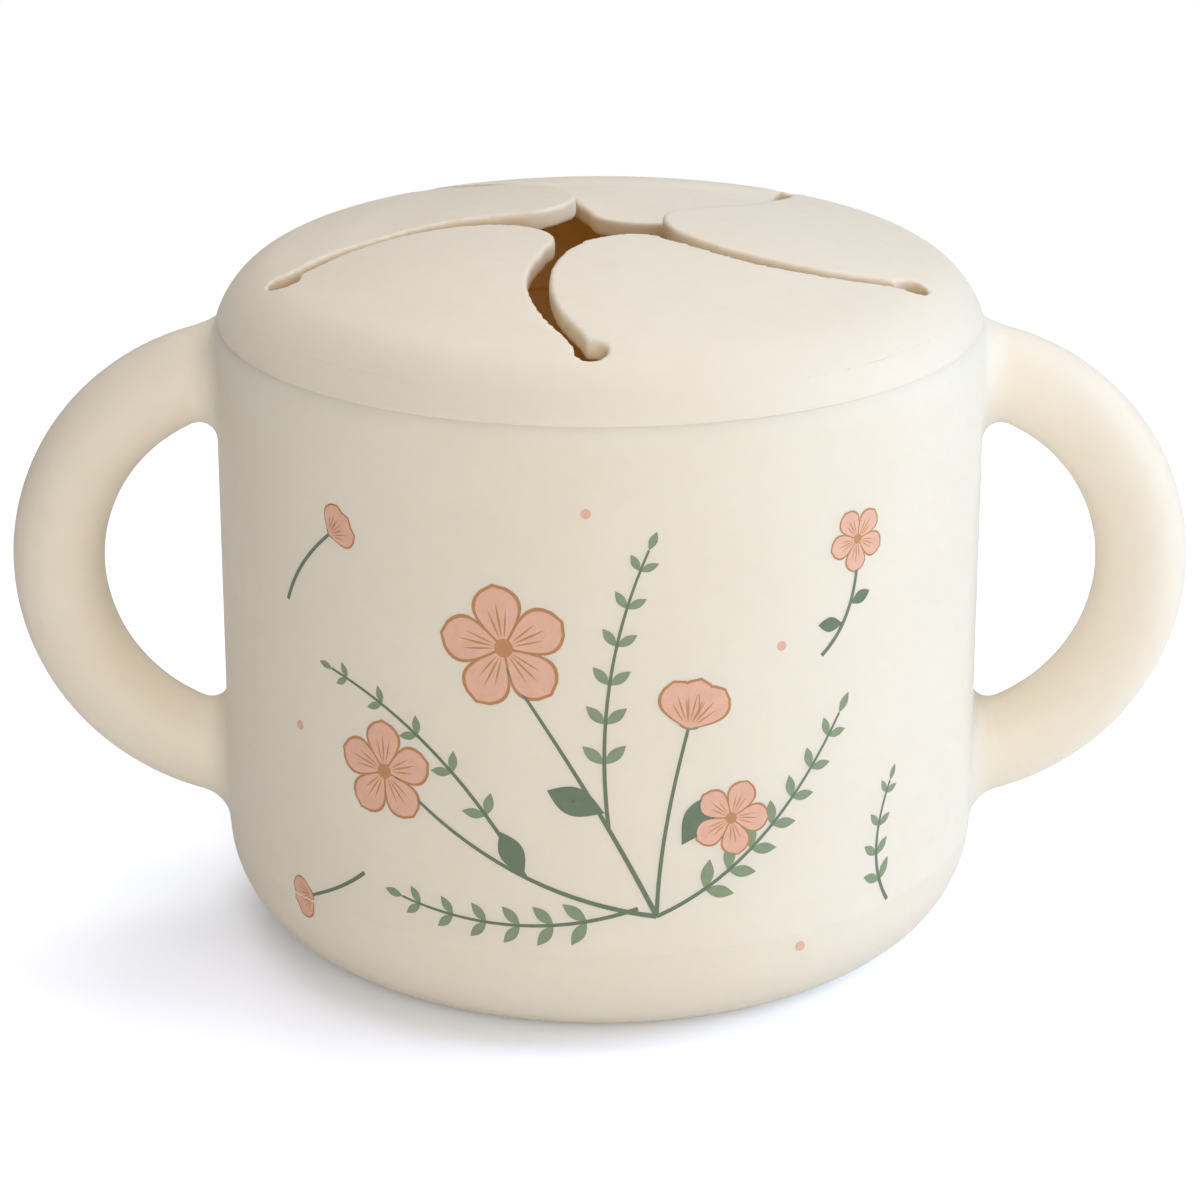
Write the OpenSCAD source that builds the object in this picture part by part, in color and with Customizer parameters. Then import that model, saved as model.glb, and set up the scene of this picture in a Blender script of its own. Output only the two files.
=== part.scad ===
/* [Cup] */
// Outside diameter of the cup wall
cup_d = 85.2; // [78:0.2:95]
// Height of the cup up to the seam under the lid
cup_h = 71; // [66:0.5:90]
// Thickness of the cup wall
cup_wall = 2.6; // [2.2:0.1:3.4]
// Thickness of the cup floor
floor_t = 3.2; // [2.4:0.1:5]
// Outside radius where the wall turns into the base
base_round = 12.4; // [8:0.2:14]
// Width of the flat ring that the cup stands on
foot_ring_w = 4; // [2:0.5:8]
// Depth of the shallow hollow inside the foot ring
foot_hollow = 0.6; // [0.3:0.1:1.2]

/* [Handles] */
// Thickness of the round handle bar
handle_bar_d = 10.3; // [8:0.1:12]
// Diameter of the half ring, measured along the middle of the bar
handle_loop_d = 46.8; // [42:0.2:50]
// How far inside the cup wall the half ring has its centre
handle_inset = 4.8; // [3:0.1:7]
// Height of the middle of the handles
handle_z = 41.6; // [41:0.1:44]
// Radius of the blend where a handle leaves the wall
handle_blend = 2; // [1:0.1:2.6]

/* [Lid] */
// How far the lid stands proud of the cup wall
lid_proud = 0.3; // [0.1:0.1:0.6]
// Radius of the rounded shoulder of the lid
shoulder_round = 9.8; // [8.8:0.1:10.4]
// How far below the seam the wall starts to turn in
shoulder_drop = 3.2; // [3:0.1:5]
// Slope of the domed top where it meets the shoulder
dome_slope = 15; // [10:0.5:20]
// Thickness of the flexible lid sheet
sheet_t = 2.2; // [1.8:0.1:2.6]
// Depth of the plug ring below the seam
plug_depth = 8; // [6:0.5:12]
// Thickness of the plug ring
plug_t = 1.7; // [1.2:0.1:1.9]
// Height of each sealing rib on the plug ring
rib_h = 0.4; // [0.2:0.1:0.6]
// Running gap between the sealing ribs and the cup
plug_gap = 0.05; // [0.03:0.01:0.1]
// Gap of the seam between the cup rim and the lid
seam_gap = 0.12; // [0.06:0.02:0.3]

/* [Pinwheel] */
// Radius of the circle on which the relief holes lie
hole_circle_r = 35.5; // [33:0.1:36]
// Diameter of each relief hole at the end of a slit
hole_d = 3.8; // [3:0.1:4.4]
// Widest part of each slit
slit_gap = 2.3; // [1.8:0.1:2.8]
// Radius of the root about which each flap bends
root_r = 2.4; // [2.3:0.05:2.6]
// Gap around the root of each flap
root_gap = 0.1; // [0.06:0.02:0.2]
// How far round the pinwheel is turned on the cup
wheel_turn = -1.5; // [-10:0.5:10]
// Lift of each flap at rest, in degrees, from the front right round to the left
flap_rest = [0, 0.2, -6, 0.4, -1];

/* [Hidden] */
FLAPS = 5;
$fn = 96;

cup_r = cup_d / 2;
bore_r = cup_r - cup_wall;
lid_r = cup_r + lid_proud;
eps = 0.01;

// Shoulder arc of the lid, and of the cup rim that continues it
shoulder_z = cup_h - shoulder_drop;
lid_arc_x = lid_r - shoulder_round;
rim_arc_x = cup_r - shoulder_round;

// Dome of the lid: one sphere that leaves the shoulder arc at dome_slope
join_r = lid_arc_x + shoulder_round * sin(dome_slope);
join_z = shoulder_z + shoulder_round * cos(dome_slope);
dome_r = join_r / sin(dome_slope);
dome_z = join_z - dome_r * cos(dome_slope);

// Foot of a handle, and how far the round wall falls away from it at the sides
flare_r = handle_bar_d / 2 + handle_blend - 0.2;
wall_sag = cup_r - sqrt(cup_r * cup_r - flare_r * flare_r);
flare_sink = 0.6 * wall_sag;

// Plug ring: its sealing ribs, how far it runs up into the sheet, and the land that
// joins it to the sheet over the cup's rim
plug_r = bore_r - plug_gap - rib_h;
rib_share = [0.35, 0.72];
plug_h = plug_depth + 1.5 * sheet_t;
land_w = bore_r - plug_r + sheet_t / 4;

// Chord between two neighbouring holes: each flap bends about one chord
step_deg = 360 / FLAPS;
chord_r = hole_circle_r * cos(step_deg / 2);
chord_l = 2 * hole_circle_r * sin(step_deg / 2);
root_z = (dome_top(chord_r) + dome_top(hole_circle_r) - sheet_t) / 2;
// The root stops short of the hole centres, and laps a little over its chord
root_end = 1.2;
root_lap = 0.3;

// Edge of a flap's round head. Each pair is the share of the hole circle's radius,
// and the degrees past the spoke of the hole where the slit starts.
HEAD = [[0.98, -0.1], [0.902, -2.3], [0.776, -7.5], [0.607, -12.9], [0.433, -15.8],
        [0.274, -9.5], [0.206, 19.2], [0.252, 40.5], [0.321, 43.9]];
// The neighbour's edge follows the head between these places in the list
NEST_START = 0.8;
NEST_END = 4.2;
// Share of slit_gap that is left where the slit meets its hole, and the place in
// the list from which the slit has its full width
PINCH = 0.2;
WIDEST = 3;
CURVE_STEPS = 5;

function dome_top(r) = dome_z + sqrt(dome_r * dome_r - r * r);
function polar(r, a) = [r * cos(a), r * sin(a)];
function turned(p, a) = [p[0] * cos(a) - p[1] * sin(a), p[0] * sin(a) + p[1] * cos(a)];
function head_key(i) =
    let (k = HEAD[max(0, min(len(HEAD) - 1, i))])
    polar(k[0] * hole_circle_r, k[1]);
// Smooth curve through the head's keys at place s
function head_at(s) =
    let (i = min(floor(s), len(HEAD) - 2), t = s - i,
         a = head_key(i - 1), b = head_key(i), c = head_key(i + 1), d = head_key(i + 2))
    (2 * b + (c - a) * t + (2 * a - 5 * b + 4 * c - d) * t * t
     + (3 * b - 3 * c + d - a) * t * t * t) / 2;
function head_normal(s) =
    let (v = head_at(s + 0.05) - head_at(max(0, s - 0.05)))
    [-v[1], v[0]] / norm(v);
function gap_at(s) = slit_gap * (PINCH + (1 - PINCH) * min(1, s / WIDEST));
function nest_at(s) = head_at(s) + gap_at(s) * head_normal(s);
// Outline of a flap whose slit starts on the X axis and whose other hole is one step on
function flap_outline() = concat(
    [polar(hole_circle_r, step_deg)],
    [for (s = [NEST_START : 1 / CURVE_STEPS : NEST_END]) turned(nest_at(s), step_deg)],
    [for (k = [(len(HEAD) - 1) * CURVE_STEPS : -1 : 0]) head_at(k / CURVE_STEPS)],
    [polar(hole_circle_r, 0)]);

// Half section of the cup's outside, filled in, with the base round and the rim
module cup_outside() {
    square([cup_r - base_round, cup_h]);
    translate([0, base_round]) square([cup_r, shoulder_z - base_round]);
    translate([cup_r - base_round, base_round]) circle(base_round);
    intersection() {
        translate([rim_arc_x, shoulder_z]) circle(shoulder_round);
        translate([0, shoulder_z - eps]) square([cup_r + eps, cup_h - shoulder_z + eps]);
    }
}

// Half section of the cup wall and floor
module cup_section() {
    floor_z = foot_hollow + floor_t;
    inner_round = base_round - cup_wall;
    difference() {
        cup_outside();
        translate([-eps, floor_z + inner_round]) square([bore_r + eps, cup_h]);
        translate([-eps, floor_z]) square([bore_r - inner_round + eps, cup_h]);
        translate([bore_r - inner_round, floor_z + inner_round]) circle(inner_round);
        square([cup_r - base_round - foot_ring_w, foot_hollow]);
    }
}

module cup_shell() {
    color("#efe6d8") rotate_extrude() cup_section();
}

// Half ring of round bar on the +X side, cut to the cup wall and kept below the seam
module handle() {
    loop_x = cup_r - handle_inset;
    loop_r = handle_loop_d / 2;
    meet_z = loop_r * sin(acos(handle_inset / loop_r));
    color("#eae0d0") difference() {
        union() {
            translate([loop_x, 0, handle_z]) rotate([90, 0, 0])
                rotate_extrude($fn = 72) translate([loop_r, 0]) circle(handle_bar_d / 2, $fn = 40);
            for (side = [-1, 1])
                translate([cup_r - flare_sink, 0, handle_z + side * meet_z]) rotate([0, 90, 0])
                    handle_flare();
        }
        rotate_extrude() cup_outside();
        translate([-2 * cup_d, -cup_d, -cup_d]) cube([2 * cup_d + loop_x, 2 * cup_d, 3 * cup_d]);
        translate([0, -cup_r, cup_h - seam_gap]) cube([cup_d, cup_d, cup_r]);
    }
}

// Foot that widens the end of the bar into the wall, with the end of its blend at its origin
module handle_flare() {
    rotate_extrude($fn = 48) difference() {
        translate([0, -wall_sag]) square([flare_r, handle_blend + wall_sag]);
        translate([flare_r, handle_blend]) circle(handle_blend, $fn = 32);
    }
}

module handle_right() { handle(); }
module handle_left() { mirror([1, 0, 0]) handle(); }

// Section of the bare lid sheet: dome, shoulder and the edge over the seam
module sheet_section() {
    lid_foot = cup_h + seam_gap;
    intersection() {
        translate([0, dome_z]) difference() {
            circle(dome_r, $fn = 720);
            circle(dome_r - sheet_t, $fn = 720);
        }
        square([join_r, 2 * cup_h]);
        polygon([[0, dome_z], dome_side(2 * dome_r), [0, dome_z + 2 * dome_r]]);
    }
    intersection() {
        translate([lid_arc_x, shoulder_z]) difference() {
            circle(shoulder_round);
            circle(shoulder_round - sheet_t);
        }
        translate([0, lid_foot]) square([2 * lid_r, cup_h]);
        polygon([[0, dome_z], dome_side(2 * dome_r), [3 * dome_r, 0]]);
    }
}
function dome_side(r) = [r * sin(dome_slope), dome_z + r * cos(dome_slope)];

// Section of the plug ring with its two sealing ribs
module plug_section() {
    foot = cup_h - plug_depth;
    translate([plug_r - plug_t, foot]) difference() {
        square([plug_t, plug_h]);
        translate([plug_t, 0]) rotate(45) square(plug_t / 2, center = true);
    }
    for (s = rib_share)
        translate([plug_r, cup_h - s * plug_depth]) circle(rib_h);
    translate([plug_r - eps, cup_h + seam_gap]) square([land_w, sheet_t / 2]);
}

module lid_cap() {
    color("#ede4d6") difference() {
        rotate_extrude() { sheet_section(); plug_section(); }
        translate([0, 0, cup_h]) linear_extrude(cup_h) rotate(wheel_turn - 90)
            polygon([for (i = [0 : FLAPS - 1]) polar(hole_circle_r, i * step_deg)]);
        for (i = [0 : FLAPS - 1]) {
            at_root(i) flap_root(root_r + root_gap, root_gap);
            relief_hole(i);
        }
    }
}

module relief_hole(i) {
    rotate(wheel_turn - 90 + i * step_deg) translate([hole_circle_r, 0, cup_h])
        cylinder(d = hole_d, h = cup_h, $fn = 32);
}

// Places a root with its axis along the chord of flap i
module at_root(i) {
    rotate(wheel_turn - 90 + (i + 0.5) * step_deg) translate([chord_r, 0, root_z])
        rotate([90, 0, 0]) children();
}
module flap_root(r, extra) {
    length = chord_l - 2 * root_end + 2 * extra;
    cylinder(r = r, h = length, center = true, $fn = 48);
}
// The half of the root outside its chord, with a small lap into the flap
module flap_root_half() {
    intersection() {
        flap_root(root_r, 0);
        translate([-root_lap, -cup_r, -cup_r]) cube(cup_d);
    }
}

module flap(i) {
    color("#e9dfd1")
    rotate(wheel_turn - 90 + (i + 0.5) * step_deg) translate([chord_r, 0, root_z])
        rotate([0, flap_rest[i], 0]) translate([-chord_r, 0, -root_z])
            rotate(90 - wheel_turn - (i + 0.5) * step_deg)
    difference() {
        intersection() {
            rotate_extrude() sheet_section();
            union() {
                translate([0, 0, cup_h]) linear_extrude(cup_h)
                    rotate(wheel_turn - 90 + i * step_deg) polygon(flap_outline());
                at_root(i) flap_root_half();
            }
        }
        relief_hole(i);
        relief_hole(i + 1);
    }
}

module flap_1() { flap(0); }
module flap_2() { flap(1); }
module flap_3() { flap(2); }
module flap_4() { flap(3); }
module flap_5() { flap(4); }

cup_shell();
handle_left();
handle_right();
lid_cap();
flap_1();
flap_2();
flap_3();
flap_4();
flap_5();
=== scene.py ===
import math

import bpy
from mathutils import Matrix, Vector


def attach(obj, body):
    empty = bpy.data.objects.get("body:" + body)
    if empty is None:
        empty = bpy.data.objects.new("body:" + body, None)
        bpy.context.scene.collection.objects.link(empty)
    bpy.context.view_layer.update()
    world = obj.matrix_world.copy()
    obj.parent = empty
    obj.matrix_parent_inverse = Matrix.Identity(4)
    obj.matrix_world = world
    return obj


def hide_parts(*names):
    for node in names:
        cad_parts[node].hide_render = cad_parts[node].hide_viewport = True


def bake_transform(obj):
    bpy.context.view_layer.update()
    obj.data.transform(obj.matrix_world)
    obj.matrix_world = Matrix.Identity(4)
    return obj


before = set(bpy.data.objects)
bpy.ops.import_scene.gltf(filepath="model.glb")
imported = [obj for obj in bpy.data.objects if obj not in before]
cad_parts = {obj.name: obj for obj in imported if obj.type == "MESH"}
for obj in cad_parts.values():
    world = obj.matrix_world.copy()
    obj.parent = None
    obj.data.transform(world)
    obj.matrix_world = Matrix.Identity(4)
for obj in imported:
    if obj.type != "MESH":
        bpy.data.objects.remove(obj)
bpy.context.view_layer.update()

# ---------------------------------------------------------------------------
# Studio: a plain white sweep under four broad soft lights, a cool one on the
# right and nearly neutral ones in front, above and behind. The camera looks
# down at the front of the cup from a little above it.
# ---------------------------------------------------------------------------
mm = 0.001
FLOOR_SIZE = 6.0
CAMERA_PLACE = (0, -0.4216, 0.1935)
CAMERA_TILT = math.radians(69.8)
CAMERA_LENS = 118.74
CAMERA_SENSOR = 36
CAMERA_SHIFT = -0.0102
LIGHT_AIM = (0, 0, 0.04)
SOFTBOXES = {  # place, size, and strength in red, green and blue
    "right": ((0.60, -0.02, 0.24), 0.50, (2.00, 2.37, 2.95)),
    "front": ((0.05, -0.90, 0.25), 0.60, (4.10, 3.95, 3.75)),
    "top": ((0, 0, 0.90), 0.80, (2.95, 2.75, 2.80)),
    "back": ((0, 0.50, 0.70), 0.60, (2.05, 2.05, 1.95)),
}
WORLD_LEVEL = 0.15               # light that comes from all round
PAPER = 0.88
PAPER_ROUGHNESS = 0.9
PAPER_LIFT = (0.57, 0.64, 0.80)  # makes the paper whiter and less warm for the camera alone
PAPER_FADE = (0.16, 0.34)        # where the paper goes over into the white background, in m
BLACK = (0, 0, 0)
WHITE = (1, 1, 1)
MIX_FIRST = 6                    # sockets of a Mix node that are for colours
MIX_SECOND = 7
MIX_RESULT = 2


class Knob:
    """A socket of a material's nodes. Arithmetic on it adds Math nodes."""

    def __init__(self, finish, socket):
        self.finish, self.socket = finish, socket

    def maths(self, operation, *values):
        return self.finish.node("ShaderNodeMath", {"operation": operation}, *values)

    def __add__(self, other):
        return self.maths("ADD", self, other)

    def __mul__(self, other):
        return self.maths("MULTIPLY", self, other)

    __radd__, __rmul__ = __add__, __mul__


class Finish:
    """One node material. node() takes the settings first and then the sockets."""

    def __init__(self, name):
        self.material = bpy.data.materials.new(name)
        self.material.use_nodes = True
        self.tree = self.material.node_tree
        self.shader = self.tree.nodes["Principled BSDF"]
        self.output = self.tree.nodes["Material Output"]

    def feed(self, socket, value):
        """Links a Knob to a socket, or sets the socket's constant."""
        if isinstance(value, Knob):
            self.tree.links.new(value.socket, socket)
        elif socket.type == "RGBA" and len(value) == 3:
            socket.default_value = (*value, 1)
        else:
            socket.default_value = value

    def node(self, kind, settings=None, *values, out=0, **sockets):
        """Adds a node and gives back one of its outputs."""
        made = self.tree.nodes.new(kind)
        for name, value in (settings or {}).items():
            setattr(made, name, value)
        for socket, value in zip(made.inputs, values):
            self.feed(socket, value)
        for name, value in sockets.items():
            self.feed(made.inputs[name.replace("_", " ")], value)
        return Knob(self, made.outputs[out])

    def place(self):
        """The place on the piece, in the shared frame."""
        return self.node("ShaderNodeTexCoord", out="Object")

    def noise(self, scale, detail=2.0):
        return self.node("ShaderNodeTexNoise", None, Vector=self.place(), Scale=scale, Detail=detail)

    def blend(self, share, first, second):
        """The first colour where share is 0, and the second where it is 1."""
        mix = self.tree.nodes.new("ShaderNodeMix")
        mix.data_type = "RGBA"
        self.feed(mix.inputs["Factor"], share)
        self.feed(mix.inputs[MIX_FIRST], first)
        self.feed(mix.inputs[MIX_SECOND], second)
        return Knob(self, mix.outputs[MIX_RESULT])

    def set(self, **sockets):
        """Sets or links the shader's own sockets."""
        for name, value in sockets.items():
            self.feed(self.shader.inputs[name.replace("_", " ")], value)


def start():
    """Object mode, with nothing selected."""
    if bpy.context.object and bpy.context.object.mode != "OBJECT":
        bpy.ops.object.mode_set(mode="OBJECT")
    bpy.ops.object.select_all(action="DESELECT")


def pick(piece):
    """Object mode, with this piece alone selected and active."""
    start()
    bpy.context.view_layer.objects.active = piece
    piece.select_set(True)


def edit(piece):
    """Edit mode on this piece alone."""
    pick(piece)
    bpy.ops.object.mode_set(mode="EDIT")


def done():
    """Back to object mode."""
    bpy.ops.object.mode_set(mode="OBJECT")


def face_outwards():
    """Turns the normals of what is open in edit mode outwards."""
    bpy.ops.mesh.select_all(action="SELECT")
    bpy.ops.mesh.normals_make_consistent(inside=False)


def slice_at(point, normal, near=1e-5, **keep):
    """Cuts what is open in edit mode along a plane, through points that are this near to it."""
    bpy.ops.mesh.select_all(action="SELECT")
    bpy.ops.mesh.bisect(plane_co=point, plane_no=normal, threshold=near * mm, **keep)


def soften(piece, degrees):
    """Smooth shading, with edges sharper than this left crisp."""
    pick(piece)
    bpy.ops.object.shade_smooth_by_angle(angle=math.radians(degrees))


def finish_with(piece, kind, **settings):
    """Adds a modifier and applies it."""
    pick(piece)
    made = piece.modifiers.new(kind.title(), kind)
    for name, value in settings.items():
        setattr(made, name, value)
    bpy.ops.object.modifier_apply(modifier=made.name)


start()
bpy.ops.mesh.primitive_plane_add(size=FLOOR_SIZE)
floor = bpy.context.object
floor.name = "studio_floor"
paper = Finish("studio_paper")
paper.set(Base_Color=(PAPER, PAPER, PAPER), Roughness=PAPER_ROUGHNESS)
seen = paper.node("ShaderNodeLightPath", out="Is Camera Ray")
extra = paper.node("ShaderNodeBsdfDiffuse", None, paper.blend(seen, BLACK, PAPER_LIFT))
both = paper.node("ShaderNodeAddShader", None, Knob(paper, paper.shader.outputs[0]), extra)
away = paper.node("ShaderNodeVectorMath", {"operation": "LENGTH"}, paper.place(), out="Value")
fade = paper.node("ShaderNodeMapRange", {"interpolation_type": "SMOOTHSTEP"}, away, *PAPER_FADE)
white = paper.node("ShaderNodeEmission", None, WHITE)
seamless = paper.node("ShaderNodeMixShader", None, seen * fade, both, white)
paper.feed(paper.output.inputs["Surface"], seamless)
floor.data.materials.append(paper.material)

world = bpy.data.worlds.new("studio_air")
world.use_nodes = True
air = world.node_tree
rays = air.nodes.new("ShaderNodeLightPath")
level = air.nodes.new("ShaderNodeMapRange")
level.inputs["To Min"].default_value = WORLD_LEVEL
level.inputs["To Max"].default_value = 1.0
air.links.new(rays.outputs["Is Camera Ray"], level.inputs["Value"])
air.nodes["Background"].inputs["Color"].default_value = (*WHITE, 1)
air.links.new(level.outputs["Result"], air.nodes["Background"].inputs["Strength"])
bpy.context.scene.world = world
bpy.context.scene.view_settings.view_transform = "Standard"

for name, (place, size, strength) in SOFTBOXES.items():
    lamp = bpy.data.lights.new("softbox_" + name, "AREA")
    lamp.size, lamp.energy = size, max(strength)
    lamp.color = [level / max(strength) for level in strength]
    box = bpy.data.objects.new("softbox_" + name, lamp)
    box.location = place
    aim = Vector(LIGHT_AIM) - Vector(place)
    box.rotation_euler = aim.to_track_quat("-Z", "Y").to_euler()
    bpy.context.scene.collection.objects.link(box)

camera = bpy.data.objects.new("camera", bpy.data.cameras.new("camera"))
camera.data.lens = CAMERA_LENS
camera.data.sensor_width = CAMERA_SENSOR
camera.data.shift_y = CAMERA_SHIFT
camera.location = CAMERA_PLACE
camera.rotation_euler = (CAMERA_TILT, 0, 0)
bpy.context.scene.collection.objects.link(camera)
bpy.context.scene.camera = camera

# ---------------------------------------------------------------------------
# Cup: a matt cream silicone moulding, turned round its axis from one outline.
# It stands on a narrow foot ring, and a faint flash line runs round it where
# the base of the mould parted from its sides.
# ---------------------------------------------------------------------------
CUP_RADIUS = 42.6
CUP_HEIGHT = 71.0
WALL = 2.6
FLOOR = 3.2
FOOT_RING = 4.0                  # width of the ring that the cup stands on
FOOT_HEIGHT = 0.6
BASE_ROUND = 12.4
SHOULDER_ROUND = 9.8             # radius of the round that rim and lid share
SHOULDER_DROP = 3.2              # how far under the rim that round begins
EDGE = 0.3                       # radius of the rim's and the foot's small edges
FLASH_LINE = (12.7, 0.22, 0.07)  # height, half width and how far it stands out
FLOOR_RING = 15                  # radius of a ring of points on the floor, and of one under it
UNDER_RING = 12
BORE_RINGS = (30, 50)            # heights of the rings of points up the bore, and down the wall
WALL_RINGS = (60, 50, 40, 30, 20)
BORE_RADIUS = CUP_RADIUS - WALL
INSIDE_ROUND = BASE_ROUND - WALL
FLOOR_TOP = FOOT_HEIGHT + FLOOR
FOOT_INNER = CUP_RADIUS - BASE_ROUND - FOOT_RING
SHOULDER_HEIGHT = CUP_HEIGHT - SHOULDER_DROP
RIM_CENTRE = CUP_RADIUS - SHOULDER_ROUND
CREAM = (0.842, 0.770, 0.645)
CREAM_DEEP = (0.822, 0.746, 0.615)
# Painted shade: the cup's inside is the same cream silicone, and these warmer, darker colours paint
# the shade that falls deep inside it.
INSIDE_PAINTED_SHADE = (0.83, 0.65, 0.40)
INSIDE_PAINTED_SHADE_DEEP = (0.80, 0.61, 0.36)
INSIDE_PAINTED_GLOW = (0.032, 0.013, 0.0)  # painted glow in place of daylight that comes in through the soft wall
CLOUD_SCALE = 70                 # noise scales: faint clouding, a finer one, and the grain
FINE_SCALE = 520
GRAIN_SCALE = 3200
CLOUD_SHARE = 0.7                # how much of the colour's change is the broad clouding
FINE_SPAN = (0.3, 0.7)           # the part of the fine noise that changes the roughness
NOISE_SPAN = (0.35, 0.65)        # the part of the noise that goes from one colour to the other
ROUGHNESS = (0.46, 0.58)
GRAIN_STRENGTH = 0.12
GRAIN_HEIGHT = 0.03              # in mm
SOFTNESS = (1.0, 0.62, 0.38)     # how far red, green and blue light travel in the silicone
SOFT_REACH = 4                   # in mm
SHEEN = (0.08, 0.6)              # weight and roughness
CRISP_ANGLE = 40                 # an edge sharper than this, in degrees, stays crisp
INSIDE_MARGIN = 0.1


def arc(centre, radius, first, last, steps):
    """Points of an arc, in degrees from outwards to upwards."""
    turns = [math.radians(first + (last - first) * i / steps) for i in range(steps + 1)]
    return [(centre[0] + radius * math.cos(t), centre[1] + radius * math.sin(t)) for t in turns]


def lathe(name, outline, steps=192, closed=False):
    """Turns an outline of (radius, height) in mm once round the Z axis."""
    start()
    bpy.ops.mesh.primitive_circle_add(vertices=len(outline), radius=1)
    piece = bpy.context.object
    piece.name = piece.data.name = name
    for vertex, (radius, height) in zip(piece.data.vertices, outline):
        vertex.co = (radius * mm, 0, height * mm)
    if not closed:
        ends = [0, len(outline) - 1]
        for edge in piece.data.edges:
            edge.select = sorted(edge.vertices) == ends
        for vertex in piece.data.vertices:
            vertex.select = vertex.index in ends
        edit(piece)
        bpy.ops.mesh.select_mode(type="EDGE")
        bpy.ops.mesh.delete(type="EDGE")
    edit(piece)
    bpy.ops.mesh.select_mode(type="VERT")
    bpy.ops.mesh.select_all(action="SELECT")
    bpy.ops.mesh.spin(steps=steps, angle=2 * math.pi, center=(0, 0, 0), axis=(0, 0, 1))
    bpy.ops.mesh.select_all(action="SELECT")
    bpy.ops.mesh.remove_doubles(threshold=2e-6)
    face_outwards()
    done()
    return piece


def silicone(name, light, deep, depth=0.25, shine=0.35, painted_glow=BLACK, cut=CREAM, cut_painted_glow=BLACK):
    """Matt moulded silicone: faint clouding, a fine grain and soft depth, and an even painted glow,
    which stands in for light let through the silicone, where a glow is given.

    Where the piece's attribute "cut" is 1, it has the painted tint and painted glow given for cut
    faces, in place of their shade and the light that the silicone lets through.
    """
    finish = Finish(name)
    cloud = finish.noise(CLOUD_SCALE, 3.0)
    fine = finish.noise(FINE_SCALE)
    mixed = cloud * CLOUD_SHARE + fine * (1 - CLOUD_SHARE)
    share = finish.node("ShaderNodeMapRange", None, mixed, *NOISE_SPAN)
    # Where "cut" is 1, the colour is a painted tint for the cut faces' shade and the light through
    # the silicone.
    painted_cut_share = finish.node("ShaderNodeAttribute", {"attribute_name": "cut"}, out="Fac")
    finish.set(Base_Color=finish.blend(painted_cut_share, finish.blend(share, light, deep), cut),
               Roughness=finish.node("ShaderNodeMapRange", None, fine, *FINE_SPAN, *ROUGHNESS))
    bump = finish.node("ShaderNodeBump", None, Strength=GRAIN_STRENGTH, Distance=GRAIN_HEIGHT * mm,
                       Height=finish.noise(GRAIN_SCALE))
    # The emission is painted glow: it stands in for light that comes through the soft silicone,
    # inside the cup and on the lid's cut faces.
    finish.set(Normal=bump, Subsurface_Weight=depth, Subsurface_Scale=SOFT_REACH * mm,
               Specular_IOR_Level=shine, Sheen_Weight=SHEEN[0], Sheen_Roughness=SHEEN[1],
               Emission_Color=finish.blend(painted_cut_share, painted_glow, cut_painted_glow), Emission_Strength=1.0)
    finish.shader.inputs["Subsurface Radius"].default_value = SOFTNESS
    return finish.material


cup_silicone = silicone("cream_silicone_cup", CREAM, CREAM_DEEP)
rim_turn = math.degrees(math.asin(SHOULDER_DROP / SHOULDER_ROUND))
flash, flash_half, flash_out = FLASH_LINE
cup_outline = [(0, FLOOR_TOP), (FLOOR_RING, FLOOR_TOP)]
cup_outline += arc((BORE_RADIUS - INSIDE_ROUND, FLOOR_TOP + INSIDE_ROUND), INSIDE_ROUND, -90, 0, 14)
cup_outline += [(BORE_RADIUS, height) for height in BORE_RINGS]
cup_outline += arc((BORE_RADIUS + EDGE, CUP_HEIGHT - EDGE), EDGE, 180, 90, 3)
cup_outline += arc((RIM_CENTRE, SHOULDER_HEIGHT), SHOULDER_ROUND, rim_turn, 0, 8)
cup_outline += [(CUP_RADIUS, height) for height in WALL_RINGS]
cup_outline += [(CUP_RADIUS, flash + flash_half), (CUP_RADIUS + flash_out, flash),
                (CUP_RADIUS, flash - flash_half)]
cup_outline += arc((CUP_RADIUS - BASE_ROUND, BASE_ROUND), BASE_ROUND, 0, -90, 18)[1:]
cup_outline += [(FOOT_INNER + EDGE, 0), (FOOT_INNER, EDGE), (FOOT_INNER - EDGE, FOOT_HEIGHT),
                (UNDER_RING, FOOT_HEIGHT), (0, FOOT_HEIGHT)]
cup = lathe("cup_moulding", cup_outline)
soften(cup, CRISP_ANGLE)
cup.data.materials.append(cup_silicone)
# Painted shade for the cup's bore and floor, and for the plug ring's inner face.
painted_shade_inside = silicone("painted_shade_inside_silicone", INSIDE_PAINTED_SHADE, INSIDE_PAINTED_SHADE_DEEP, 0, 0, INSIDE_PAINTED_GLOW)
cup.data.materials.append(painted_shade_inside)
# The faces of the bore and floor take the painted shade.
for face in cup.data.polygons:
    inwards = face.normal.xy.dot(face.center.xy) < 1e-9
    in_bore = face.center.xy.length < (BORE_RADIUS + INSIDE_MARGIN) * mm
    if inwards and in_bore and face.center.z > 2 * FOOT_HEIGHT * mm:
        face.material_index = 1
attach(cup, "cup")
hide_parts("cup_shell")

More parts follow.
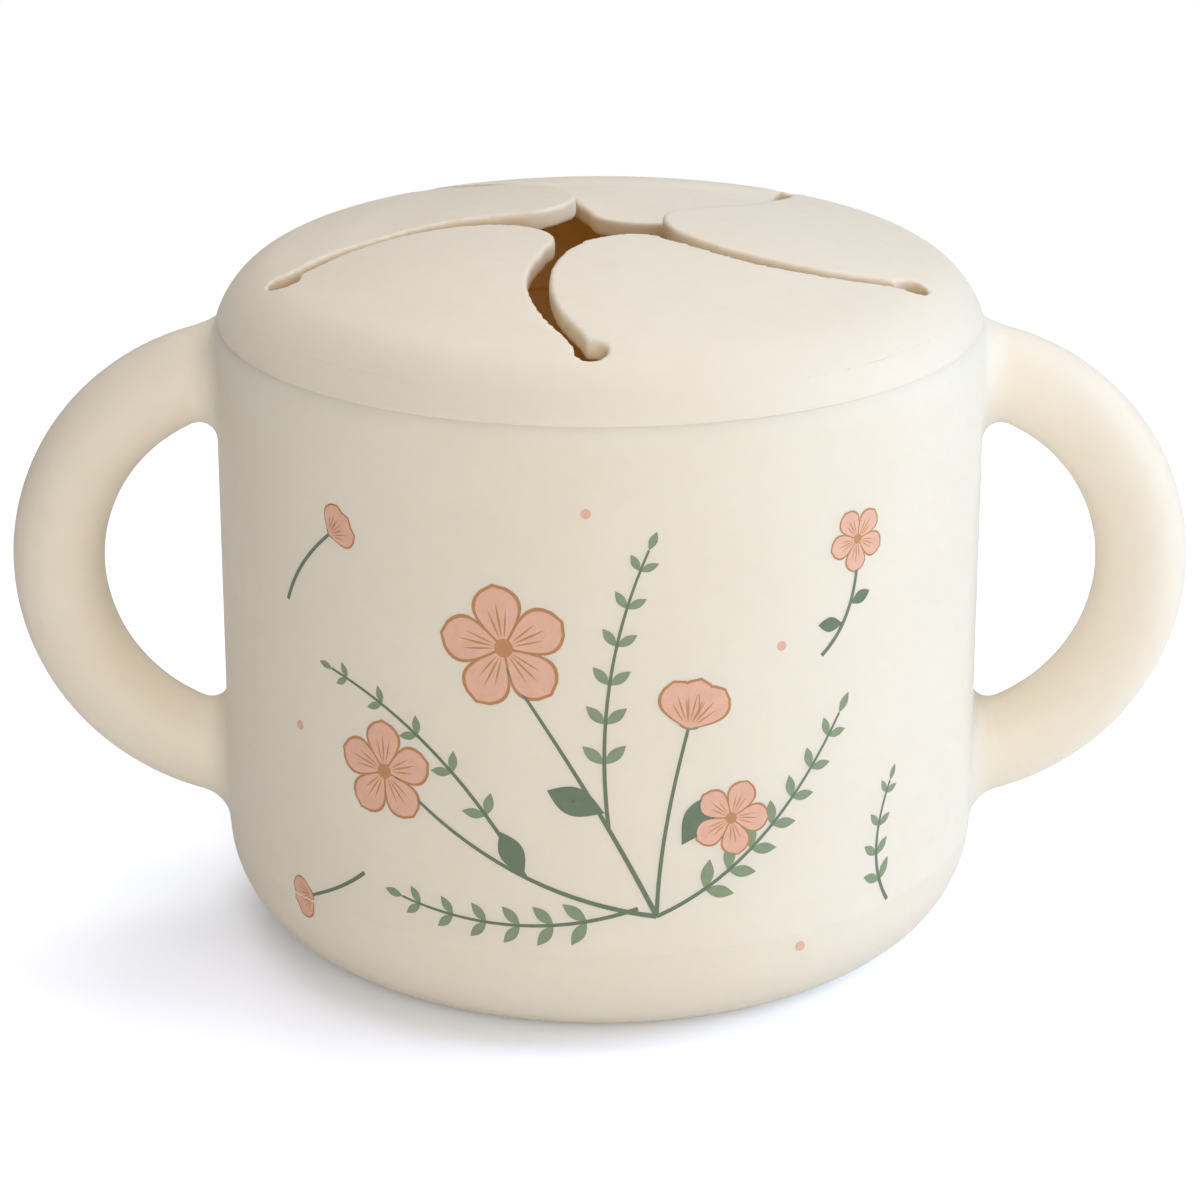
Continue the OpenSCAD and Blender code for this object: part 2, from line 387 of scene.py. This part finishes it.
# ---------------------------------------------------------------------------
# Handles: two half rings of round bar, moulded in one with the cup. Each end
# flares into the wall in a soft blend, which stays below the seam of the lid.
# ---------------------------------------------------------------------------
LOOP_INSET = 4.8
LOOP_RADIUS = 23.4
BAR_RADIUS = 5.15
LOOP_HEIGHT = 41.6
HANDLE_BLEND = 2.8
BLEND_STEPS = 7
BLEND_CEILING = CUP_HEIGHT - 0.4
ROOT_DEPTH = 0.8                 # how far each end runs on into the wall
LOOP_SEGMENTS = 144
BAR_SEGMENTS = 56
HANDLE_CRISP = 50
HIGHEST_RISE = 9.0               # keeps wall_out() under the top of the shoulder's round
UPWARDS_ENOUGH = 0.05            # only what points up this much is kept under the ceiling


def wall_out(y, z):
    """How far out the cup's wall is, in mm, at this place across and up."""
    radius = CUP_RADIUS
    if z > SHOULDER_HEIGHT:
        rise = min(HIGHEST_RISE, z - SHOULDER_HEIGHT)
        radius = RIM_CENTRE + math.sqrt(SHOULDER_ROUND ** 2 - rise ** 2)
    return math.sqrt(radius ** 2 - y ** 2)


def blend_point(begin, share):
    """A point of the blend from bar to wall; begin is (x, y, z) on the bar, in mm."""
    x, y, z = begin
    side = 1 if z > LOOP_HEIGHT else -1
    reach = x - CUP_RADIUS

    def middle(out):
        return LOOP_HEIGHT + side * math.sqrt(LOOP_RADIUS ** 2
                                              - (out - CUP_RADIUS + LOOP_INSET) ** 2)
    across = math.hypot(y, z - middle(x))
    sideways, upwards = y / across, (z - middle(x)) / across
    flare = HANDLE_BLEND
    if side > 0 and upwards > UPWARDS_ENOUGH:
        flare = min(flare, (BLEND_CEILING - middle(CUP_RADIUS)) / upwards - across)
    turn = math.pi / 2 * share
    radius = across + flare * (1 - math.cos(turn))
    height = middle(x - reach * math.sin(turn)) + radius * upwards
    above = x - wall_out(y, z)
    return (wall_out(radius * sideways, height) + above * (1 - math.sin(turn)),
            radius * sideways, height)


for side, name in ((1, "right"), (-1, "left")):
    start()
    bpy.ops.mesh.primitive_torus_add(
        location=(side * (CUP_RADIUS - LOOP_INSET) * mm, 0, LOOP_HEIGHT * mm),
        rotation=(math.pi / 2, 0, 0), major_segments=LOOP_SEGMENTS, minor_segments=BAR_SEGMENTS,
        major_radius=LOOP_RADIUS * mm, minor_radius=BAR_RADIUS * mm)
    handle = bpy.context.object
    handle.name = handle.data.name = "handle_loop_" + name
    bpy.ops.object.transform_apply(location=True, rotation=True, scale=True)
    edit(handle)
    slice_at((side * (CUP_RADIUS + HANDLE_BLEND) * mm, 0, 0), (side, 0, 0), clear_inner=True)
    done()
    cut_x = (CUP_RADIUS + HANDLE_BLEND) * mm
    begins = {tuple(v.co): (abs(v.co.x) / mm, v.co.y / mm, v.co.z / mm)
              for v in handle.data.vertices if abs(abs(v.co.x) - cut_x) < 1e-6}
    for step in range(1, BLEND_STEPS + 2):
        edit(handle)
        bpy.ops.mesh.select_mode(type="EDGE")
        bpy.ops.mesh.select_all(action="DESELECT")
        bpy.ops.mesh.select_non_manifold()
        bpy.ops.mesh.extrude_region()
        done()
        moved = {}
        for vertex in handle.data.vertices:
            begin = begins.get(tuple(vertex.co)) if vertex.select else None
            if begin:
                out, across, up = blend_point(begin, min(1, step / BLEND_STEPS))
                out -= ROOT_DEPTH if step > BLEND_STEPS else 0
                vertex.co = (side * out * mm, across * mm, up * mm)
                moved[tuple(vertex.co)] = begin
        begins = moved
    edit(handle)
    bpy.ops.mesh.fill_holes(sides=0)
    face_outwards()
    done()
    soften(handle, HANDLE_CRISP)
    handle.data.materials.append(cup_silicone)
    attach(handle, "cup")
    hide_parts("handle_" + name)

# ---------------------------------------------------------------------------
# Lid: the second silicone moulding. A domed sheet with a rounded shoulder is
# cut by five curved slits, each from a round relief hole in to the star-shaped
# mouth. Voxels and smoothing round its cut edges as a mould leaves them.
# ---------------------------------------------------------------------------
SHEET = 2.2
LID_PROUD = 0.3                  # how far the lid stands out past the cup's wall
LID_ARC = (RIM_CENTRE + LID_PROUD, SHOULDER_HEIGHT, SHOULDER_ROUND)  # centre and radius
DOME_SLOPE = 15.0
LID_FOOT = CUP_HEIGHT + 0.02
SHOULDER_CUT = CUP_HEIGHT + 3.0  # where the shoulder goes over into the turned foot and plug
FLAPS = 5
STEP = 360 / FLAPS
HOLE_CIRCLE = 35.5
HOLE_RADIUS = 1.7
SLIT_GAP = 2.3
SLIT_PINCH = 0.68                # share of the gap left at the hole
SLIT_WIDEST = 3                  # place on the head from which the gap is whole
WHEEL_TURN = -91.5
# Edge of a flap's round head: shares of the hole circle, and degrees past its hole.
# The neighbour's hollow edge follows the head up to the place NEST_END.
HEAD = [(0.98, -0.1), (0.902, -2.3), (0.776, -7.5), (0.607, -12.9), (0.433, -15.8),
        (0.274, -9.5), (0.206, 19.2), (0.252, 40.5), (0.321, 43.9)]
NEST_END = 4.2
CURVE_STEPS = 12
HOLE_POINTS = 48
DOME_STEPS = 30
OUTER_END = 19                   # degrees above level where each face of the drawn shoulder ends
INNER_END = 25
SLIT_CUTTER = (CUP_HEIGHT - 4, CUP_HEIGHT + 16)  # lowest and highest of each cutter
HOLE_CUTTER = (CUP_HEIGHT - 2, CUP_HEIGHT + 14)
HEADING_STEP = 0.05              # how far either way the head's heading is measured
VOXEL = 0.30
SMOOTHING = 8
LID_CRISP = 65
CUT_FACE_PAINTED_LIGHT = (0.741, 0.678, 0.542)      # painted light on the faces that the slits leave: a warmer, darker tint in place of their shade and the light through the silicone
CUT_FACE_PAINTED_GLOW = (0.070, 0.030, 0.0)   # painted glow in place of light that the sheet lets through to its cut faces
CUT_FACING = (0.9, 0.3)          # how squarely a face lies on the dome where the cut faces' painted tint begins and is whole
CUT_MARGIN = 0.5
TRUE_REACH = 0.09                # points this near to a face of the sheet are drawn towards it
TRUE_WHOLE = 0.03                # and points this near, right onto it
# The lid's cut faces get a painted tint and a painted glow in place of their shade and the light
# that comes through the silicone.
lid_silicone = silicone("cream_silicone_lid", CREAM, CREAM_DEEP, depth=0, cut=CUT_FACE_PAINTED_LIGHT,
                        cut_painted_glow=CUT_FACE_PAINTED_GLOW)

slope = math.radians(DOME_SLOPE)
join = (LID_ARC[0] + LID_ARC[2] * math.sin(slope), LID_ARC[1] + LID_ARC[2] * math.cos(slope))
DOME_RADIUS = join[0] / math.sin(slope)
DOME_CENTRE = join[1] - DOME_RADIUS * math.cos(slope)


def dome_height(radius):
    """Height of the dome's outside at this distance from the axis."""
    return DOME_CENTRE + math.sqrt(DOME_RADIUS ** 2 - radius ** 2)


def polar(radius, turn):
    """A flat place from its distance and its turn in degrees."""
    return Vector((radius * math.cos(math.radians(turn)), radius * math.sin(math.radians(turn))))


def turned(point, turn):
    """The same place after a turn round the axis."""
    return polar(point.length, math.degrees(math.atan2(point.y, point.x)) + turn)


def head_key(i):
    """One key of the head's edge; past either end, the last one again."""
    share, turn = HEAD[max(0, min(len(HEAD) - 1, i))]
    return polar(share * HOLE_CIRCLE, turn)


def head_at(s):
    """The round head's edge, a smooth curve through its keys."""
    i = min(int(s), len(HEAD) - 2)
    t = s - i
    a, b, c, d = (head_key(i + k) for k in (-1, 0, 1, 2))
    return (2 * b + (c - a) * t + (2 * a - 5 * b + 4 * c - d) * t ** 2
            + (3 * b - 3 * c + d - a) * t ** 3) / 2


def nest_at(s):
    """The neighbour's hollow edge, one slit away from the head."""
    along = head_at(s + HEADING_STEP) - head_at(max(0, s - HEADING_STEP))
    across = Vector((-along.y, along.x)).normalized()
    gap = SLIT_GAP * (SLIT_PINCH + (1 - SLIT_PINCH) * min(1, s / SLIT_WIDEST) ** 2)
    return head_at(s) + gap * across


def prism(name, outline, low, high):
    """An upright block from an outline in mm."""
    start()
    bpy.ops.mesh.primitive_circle_add(vertices=len(outline), radius=1, fill_type="NGON")
    block = bpy.context.object
    block.name = name
    for vertex, point in zip(block.data.vertices, outline):
        vertex.co = (point.x * mm, point.y * mm, low * mm)
    edit(block)
    bpy.ops.mesh.select_all(action="SELECT")
    bpy.ops.mesh.extrude_region_move(TRANSFORM_OT_translate={"value": (0, 0, (high - low) * mm)})
    face_outwards()
    done()
    return block


def true_up(piece):
    """Draws the sheet's two faces back onto their exact dome and shoulder."""
    for vertex in piece.data.vertices:
        x, y, z = vertex.co / mm
        radius = math.hypot(x, y)
        on_dome = math.atan2(radius, z - DOME_CENTRE) < slope
        centre = (0, DOME_CENTRE) if on_dome else LID_ARC[:2]
        outer = DOME_RADIUS if on_dome else LID_ARC[2]
        away = math.hypot(radius - centre[0], z - centre[1])
        for face in (outer, outer - SHEET):
            off = abs(away - face)
            if off < TRUE_REACH and radius > 1e-6:
                keep = max(0, (off - TRUE_WHOLE) / (TRUE_REACH - TRUE_WHOLE))
                scale = (face + (away - face) * keep) / away
                new_radius = centre[0] + (radius - centre[0]) * scale
                vertex.co = Vector((x * new_radius / radius, y * new_radius / radius,
                                    centre[1] + (z - centre[1]) * scale)) * mm


def mark_cut(piece):
    """Stores in the attribute "cut" how far each point's surface turns away from the sheet; the
    lid's finish puts its painted tint and glow for cut faces there.
    """
    centre = Vector((0, 0, DOME_CENTRE * mm))
    marks = piece.data.attributes.new("cut", "FLOAT", "POINT")
    for vertex, mark in zip(piece.data.vertices, marks.data):
        facing = abs(vertex.normal.dot((vertex.co - centre).normalized()))
        share = (CUT_FACING[0] - facing) / (CUT_FACING[0] - CUT_FACING[1])
        near_slit = vertex.co.xy.length < (HOLE_CIRCLE + HOLE_RADIUS + CUT_MARGIN) * mm
        mark.value = min(1, max(0, share)) if near_slit else 0


def dome_side(radius):
    """Points of a face of the dome, from the axis out to where the shoulder begins."""
    turns = [slope * i / DOME_STEPS for i in range(DOME_STEPS)]
    return [(radius * math.sin(t), DOME_CENTRE + radius * math.cos(t)) for t in turns]


lid_arc_turn = 90 - DOME_SLOPE
sheet_outline = dome_side(DOME_RADIUS)
sheet_outline += arc(LID_ARC[:2], LID_ARC[2], lid_arc_turn, OUTER_END, 24)
sheet_outline += arc(LID_ARC[:2], LID_ARC[2] - SHEET, INNER_END, lid_arc_turn, 20)
sheet_outline += reversed(dome_side(DOME_RADIUS - SHEET))
lid = lathe("lid_shoulder", sheet_outline, steps=256)

slits = []
for flap in range(FLAPS):
    turn = WHEEL_TURN + flap * STEP
    slits += [turned(head_at(k / CURVE_STEPS), turn)
              for k in range((len(HEAD) - 1) * CURVE_STEPS + 1)]
    slits += [turned(nest_at(NEST_END - k / CURVE_STEPS), turn + STEP)
              for k in range(round(NEST_END * CURVE_STEPS) + 1)]
    slits.append(polar(HOLE_CIRCLE, turn + STEP))
cutters = [prism("slit_cutter", slits, *SLIT_CUTTER)]
for flap in range(FLAPS):
    centre = polar(HOLE_CIRCLE, WHEEL_TURN + flap * STEP)
    hole = [centre + polar(HOLE_RADIUS, k * 360 / HOLE_POINTS) for k in range(HOLE_POINTS)]
    cutters.append(prism("hole_cutter", hole, *HOLE_CUTTER))
for cutter in cutters:
    finish_with(lid, "BOOLEAN", operation="DIFFERENCE", solver="EXACT", object=cutter)
    bpy.data.objects.remove(cutter)
finish_with(lid, "REMESH", mode="VOXEL", voxel_size=VOXEL * mm)
finish_with(lid, "SMOOTH", factor=0.5, iterations=SMOOTHING)
true_up(lid)

# The sheet is parted along the chords between its holes: outside them is the
# lid's shoulder, which is cut level at its foot, and inside them are the flaps.
NEAR_CUT = 0.11                  # a point this near to a cut is drawn onto it
CHORD_RADIUS = HOLE_CIRCLE * math.cos(math.radians(STEP / 2))
CHORD_MARGIN = 0.01              # a face has to lie this far inside a chord to be a flap's
outwards = [polar(1, WHEEL_TURN + (flap + 0.5) * STEP) for flap in range(FLAPS)]
for vertex in lid.data.vertices:
    for out in outwards:
        off = vertex.co.xy.dot(out) - CHORD_RADIUS * mm
        if abs(off) < NEAR_CUT * mm:
            vertex.co.x -= off * out.x
            vertex.co.y -= off * out.y
true_up(lid)
edit(lid)
for out in outwards:
    slice_at((*(out * CHORD_RADIUS * mm), 0), (*out, 0), near=0.01)
slice_at((0, 0, SHOULDER_CUT * mm), (0, 0, 1), near=0.06, clear_inner=True)
bpy.ops.mesh.select_mode(type="EDGE")
bpy.ops.mesh.select_all(action="DESELECT")
bpy.ops.mesh.select_non_manifold()
bpy.ops.mesh.fill()
bpy.ops.mesh.select_mode(type="FACE")
bpy.ops.mesh.select_all(action="DESELECT")
done()
for face in lid.data.polygons:
    face.select = all(face.center.xy.dot(out) < (CHORD_RADIUS - CHORD_MARGIN) * mm
                      for out in outwards)
edit(lid)
bpy.ops.mesh.separate(type="SELECTED")
done()
wheel = next(o for o in bpy.context.selected_objects if o != lid)
edit(wheel)
bpy.ops.mesh.select_all(action="SELECT")
bpy.ops.mesh.separate(type="LOOSE")
done()
flaps = [o for o in bpy.context.selected_objects if o.type == "MESH"]
for piece in [lid, *flaps]:
    edit(piece)
    bpy.ops.mesh.select_all(action="SELECT")
    bpy.ops.mesh.fill_holes(sides=0)
    face_outwards()
    done()
    soften(piece, LID_CRISP)
    mark_cut(piece)
    piece.data.materials.clear()
    piece.data.materials.append(lid_silicone)
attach(lid, "lid")
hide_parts("lid_cap")

# ---------------------------------------------------------------------------
# Flaps: the five tongues that the slits leave in the lid's sheet. Each bends
# over a short length at its root, and stands a little up or down at rest.
# ---------------------------------------------------------------------------
FLAP_REST = [0, 0.2, -6, 0.4, -1]  # degrees that each flap stands up or sags at rest
FLAP_REACH = [0, 0.5, 0, 1.5, 0]   # how far past its drawn edge a flap's tip lies
BEND_LENGTH = 6.0                  # how far in from its root a flap bends
ROOT_HEIGHT = (dome_height(CHORD_RADIUS) + dome_height(HOLE_CIRCLE) - SHEET) / 2

for piece in flaps:
    middle = sum((v.co.xy for v in piece.data.vertices), Vector((0, 0)))
    number = max(range(FLAPS), key=lambda i: middle.dot(outwards[i]))
    piece.name = piece.data.name = "lid_flap_%d" % (number + 1)
    out = Vector((*outwards[number], 0))
    root = out * CHORD_RADIUS * mm + Vector((0, 0, ROOT_HEIGHT * mm))
    hinge = Vector((-out.y, out.x, 0))
    for vertex in piece.data.vertices:
        share = min(1, max(0, (root - vertex.co).dot(out) / (BEND_LENGTH * mm)))
        share = share * share * (3 - 2 * share)
        lift = Matrix.Rotation(math.radians(FLAP_REST[number]) * share, 3, hinge)
        vertex.co = root + lift @ (vertex.co - root) - out * FLAP_REACH[number] * mm * share
    root - out * BEND_LENGTH * mm
    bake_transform(piece)
    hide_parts("flap_%d" % (number + 1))

# ---------------------------------------------------------------------------
# Plug ring: the part of the lid's moulding that goes down into the cup, where
# two round ribs seal against the bore. It is turned from one outline, together
# with the foot of the shoulder, which sits on the cup's rim.
# ---------------------------------------------------------------------------
RIB_RADIUS = 0.4
RIB_GAP = 0.05                   # between the ribs and the bore
RIB_SHARES = (0.72, 0.35)        # how far down the plug each rib sits
PLUG_WALL = 1.7
PLUG_DEPTH = 8.0
PLUG_CHAMFER = 0.45
PLUG_EDGE = 0.25                 # small bevel inside the foot
PLUG_TOP = 74.3                  # where the ring ends inside the sheet
PLUG_MIDDLE = 68                 # height of a ring of points on its inner face
PLUG_OUTER = BORE_RADIUS - RIB_GAP - RIB_RADIUS
PLUG_INNER = PLUG_OUTER - PLUG_WALL
PLUG_FOOT = CUP_HEIGHT - PLUG_DEPTH
NECK = (0.5, 0.4)                # how far out and down the ring's neck is cut back at the rim
SEAT_RADIUS = 41.2               # where the foot's flat seat ends
FOOT_ROUND = 0.22
FOOT_INSET = 0.28                # how far in from the shoulder the round of the foot has its centre
SHOULDER_LESS = 0.01             # keeps the foot just under the shoulder's own face
LAP = 0.4                        # how far the turned foot runs up inside the shoulder
LAP_THICKNESS = 0.8

outer_arc = LID_ARC[2] - SHOULDER_LESS
foot_turn = math.degrees(math.asin((LID_FOOT - LID_ARC[1]) / outer_arc))
lap_turn = math.degrees(math.asin((SHOULDER_CUT + LAP - LID_ARC[1]) / outer_arc))
foot_edge = arc(LID_ARC[:2], outer_arc, foot_turn, lap_turn, 9)
plug_outline = [(PLUG_INNER, PLUG_FOOT + PLUG_EDGE), (PLUG_INNER + PLUG_EDGE, PLUG_FOOT),
                (PLUG_OUTER - PLUG_CHAMFER, PLUG_FOOT), (PLUG_OUTER, PLUG_FOOT + PLUG_CHAMFER)]
for share in RIB_SHARES:
    plug_outline += arc((PLUG_OUTER, CUP_HEIGHT - share * PLUG_DEPTH), RIB_RADIUS, -90, 90, 8)
plug_outline += [(PLUG_OUTER, LID_FOOT - NECK[1]), (PLUG_OUTER + NECK[0], LID_FOOT),
                 (SEAT_RADIUS, LID_FOOT)]
plug_outline += arc((foot_edge[0][0] - FOOT_INSET, LID_FOOT + FOOT_ROUND), FOOT_ROUND, -90, 0, 4)
plug_outline += foot_edge[2:]
plug_outline += [(foot_edge[-1][0] - LAP_THICKNESS, foot_edge[-1][1]), (PLUG_INNER, PLUG_TOP),
                 (PLUG_INNER, PLUG_MIDDLE)]
plug = lathe("lid_plug_ring", plug_outline, closed=True)
soften(plug, CRISP_ANGLE)
plug.data.materials.append(lid_silicone)
# Painted shade on the plug ring's inner face and under its foot, which darkens what shows through
# the lid's mouth.
plug.data.materials.append(painted_shade_inside)
for face in plug.data.polygons:
    out = face.center.xy.length
    on_foot = out < (PLUG_OUTER - INSIDE_MARGIN) * mm and face.center.z < (PLUG_FOOT + 1) * mm
    if on_foot or out < (PLUG_INNER + INSIDE_MARGIN) * mm:
        face.material_index = 1
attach(plug, "lid")

# ---------------------------------------------------------------------------
# Print: a posy of five-petalled flowers, buds and leafy sprigs in coral and
# green, pad-printed in thin matt ink on the front of the cup. Each colour is
# one layer of flat shapes, drawn in the plane and then wrapped round the wall.
# ---------------------------------------------------------------------------
INKS = {  # colour of each layer, and how far it stands out from the wall
    "leaves": ((0.254, 0.328, 0.202), 0.020),
    "stems": ((0.159, 0.216, 0.141), 0.030),
    "outlines": ((0.527, 0.254, 0.107), 0.020),
    "petals": ((0.807, 0.479, 0.352), 0.035),
    "veins": ((0.560, 0.280, 0.130), 0.050),
}
INK_DEPTH = 0.08
INK_SCALE = 900
INK_DEEP = 0.93                  # share of its colour that the ink has where it is deepest
WRAP_STEP = 1.2
PRINT_WIDTH = 92
POSY_FOOT = (6, 17)
STEM_PIECES = 18
PAIRS_SPAN = (0.22, 0.92)        # shares of a sprig between which its pairs of leaves stand
LEAF_SPREAD = 48
VEIN_SPREAD = 13
FAN_SPREAD = 30
SEPAL_SPREAD = 52
layers = {name: [] for name in INKS}


def lens(name, length, width, fullness=1.0, bluntness=1.0, points=12):
    """A flat petal or leaf, with its foot at the origin and its tip on the X axis."""
    side = [(length * i / points,
             width / 2 * math.sin(math.pi * (i / points) ** fullness) ** bluntness)
            for i in range(1, points)]
    ring = [(0, 0), *side, (length, 0), *((x, -y) for x, y in reversed(side))]
    start()
    bpy.ops.mesh.primitive_circle_add(vertices=len(ring), radius=1, fill_type="NGON")
    shape = bpy.context.object
    shape.name = name
    for vertex, (x, y) in zip(shape.data.vertices, reversed(ring)):
        vertex.co = (x * mm, y * mm, 0)
    return shape


def stamp(shape, layer, place, turn=0.0, size=1.0):
    """Prints a shape in a layer; place is (across, up) in mm from the front's foot."""
    copy = shape.copy()
    copy.data = shape.data.copy()
    copy.data.transform(Matrix.Translation((place[0] * mm, place[1] * mm, 0))
                        @ Matrix.Rotation(math.radians(turn), 4, "Z")
                        @ Matrix.Diagonal((size, size, 1, 1)))
    bpy.context.scene.collection.objects.link(copy)
    layers[layer].append(copy)


def along(begin, bend, end, share):
    """Point of a curve, and the heading there in degrees."""
    begin, bend, end = Vector(begin), Vector(bend), Vector(end)
    point = begin * (1 - share) ** 2 + bend * 2 * share * (1 - share) + end * share ** 2
    ahead = (bend - begin) * (1 - share) + (end - bend) * share
    return point, math.degrees(math.atan2(ahead.y, ahead.x))


def stem(begin, bend, end, thick=0.55, thin=0.30):
    """A ribbon along a curve, which gets thinner towards its end."""
    start()
    bpy.ops.mesh.primitive_grid_add(x_subdivisions=STEM_PIECES, y_subdivisions=1, size=2)
    ribbon = bpy.context.object
    for vertex in ribbon.data.vertices:
        share = (vertex.co.x + 1) / 2
        point, heading = along(begin, bend, end, share)
        side = polar((thick + (thin - thick) * share) / 2 * vertex.co.y, heading + 90)
        vertex.co = ((point.x + side.x) * mm, (point.y + side.y) * mm, 0)
    layers["stems"].append(ribbon)


def sprig(begin, bend, end, pairs, size):
    """A stem with pairs of leaves that get smaller towards its tip."""
    stem(begin, bend, end, 0.45, 0.25)
    for i in range(pairs):
        share = PAIRS_SPAN[0] + (PAIRS_SPAN[1] - PAIRS_SPAN[0]) * i / (pairs - 1)
        point, heading = along(begin, bend, end, share)
        for side in (-1, 1):
            stamp(leaf, "leaves", point, heading + side * LEAF_SPREAD, size * (1.1 - 0.45 * share))
    stamp(leaf, "leaves", end, along(begin, bend, end, 1)[1], size * 0.7)


def big_leaf(place, turn, size):
    """A leaf with a dark edge and a middle vein."""
    stamp(leaf_edge, "stems", place, turn, size)
    stamp(leaf_face, "leaves", place, turn, size)
    stamp(vein, "stems", place, turn, size * 1.25)


def petal_at(place, turn, size):
    """A petal with an outline and three veins."""
    stamp(petal_edge, "outlines", place, turn, size)
    stamp(petal, "petals", Vector(place) + polar(0.25 * size, turn), turn, size)
    for spread in (-VEIN_SPREAD, 0, VEIN_SPREAD):
        stamp(vein, "veins", Vector(place) + polar(0.9 * size, turn + spread), turn + spread,
              size * (0.85 if spread else 1))


def blossom(place, size, turn):
    """Five petals round a dot."""
    for i in range(5):
        petal_at(place, turn + 72 * i, size)
    stamp(dot, "veins", Vector(place) - Vector((0.9 * size, 0)), 0, size)


def bud(place, turn, size, stalk):
    """Three petals in a fan on a bent stalk; the stalk's end is (across, up) from the bud."""
    end = Vector(place) + Vector(stalk)
    bend = Vector(place) - polar(0.6 * Vector(stalk).length, turn)
    stem(end, bend, place, 0.45, 0.35)
    for spread in (-FAN_SPREAD, FAN_SPREAD, 0):
        petal_at(place, turn + spread, size)
    for spread in (-SEPAL_SPREAD, SEPAL_SPREAD):
        stamp(leaf, "leaves", place, turn + spread, 0.55 * size)


petal = lens("petal", 5.6, 4.0, 1.55, 0.62)
petal_edge = lens("petal_edge", 6.15, 4.65, 1.55, 0.62)
leaf = lens("leaf", 3.6, 1.5)
leaf_edge = lens("leaf_edge", 5.2, 2.6, 1.1)
leaf_face = lens("leaf_face", 4.9, 2.1, 1.1)
vein = lens("vein", 3.4, 0.20)
dot = lens("dot", 1.8, 1.8, 1.0, 0.5)

stem(POSY_FOOT, (-1, 32), (-10, 45))
stem(POSY_FOOT, (-10, 20), (-23, 31))
sprig(POSY_FOOT, (18, 22), (27, 37), 7, 0.95)
sprig((4, 18), (-8, 14), (-22, 17), 6, 0.9)
sprig((0.9, 27.3), (-1, 44), (5, 58), 6, 0.85)
sprig((-7.8, 21.3), (-17, 38), (-31, 41), 5, 0.75)
big_leaf((0.5, 29), 158, 1.25)
big_leaf((8.6, 25), 58, 1.25)
big_leaf((-8, 21.5), 118, 1.05)
blossom((-10, 47), 1.15, 100)
blossom((-24, 31), 0.95, 20)
blossom((14, 27.5), 0.72, 65)
bud((9.2, 38), 76, 0.95, (-3.2, -21))
bud((-31, 56), 40, 0.62, (-7, -9))
bud((-35, 13.5), 205, 0.58, (8, 5))
stem((24.5, 44), (28.5, 47), (29, 53), 0.45, 0.35)
blossom((29, 56), 0.60, 48)
big_leaf((27.2, 47), 172, 0.62)
big_leaf((28.2, 49), 18, 0.55)
sprig((35, 13), (31, 19), (35, 27), 4, 0.75)
for place in ((-2, 62), (19, 46), (-37, 33), (22, 11)):
    stamp(dot, "petals", place, 0, 0.6)
for shape in (petal, petal_edge, leaf, leaf_edge, leaf_face, vein, dot):
    bpy.data.objects.remove(shape)

for name, (colour, lift) in INKS.items():
    start()
    for shape in layers[name]:
        shape.select_set(True)
    bpy.context.view_layer.objects.active = layers[name][0]
    bpy.ops.object.join()
    print_layer = bpy.context.object
    print_layer.name = print_layer.data.name = "print_" + name
    edit(print_layer)
    for i in range(round(PRINT_WIDTH / WRAP_STEP) + 1):
        slice_at(((i * WRAP_STEP - PRINT_WIDTH / 2) * mm, 0, 0), (1, 0, 0))
    done()
    for vertex in print_layer.data.vertices:
        across, up = vertex.co.xy / mm
        turn = across / CUP_RADIUS
        out = CUP_RADIUS + lift
        vertex.co = Vector((out * math.sin(turn), -out * math.cos(turn), up)) * mm
    finish_with(print_layer, "SOLIDIFY", thickness=INK_DEPTH * mm, offset=-1)
    ink = Finish("ink_" + name)
    patchy = ink.node("ShaderNodeMapRange", None, ink.noise(INK_SCALE), *NOISE_SPAN)
    ink.set(Base_Color=ink.blend(patchy, colour, [INK_DEEP * level for level in colour]),
            Roughness=0.55, Specular_IOR_Level=0.3)
    print_layer.data.materials.clear()
    print_layer.data.materials.append(ink.material)
    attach(print_layer, "cup")
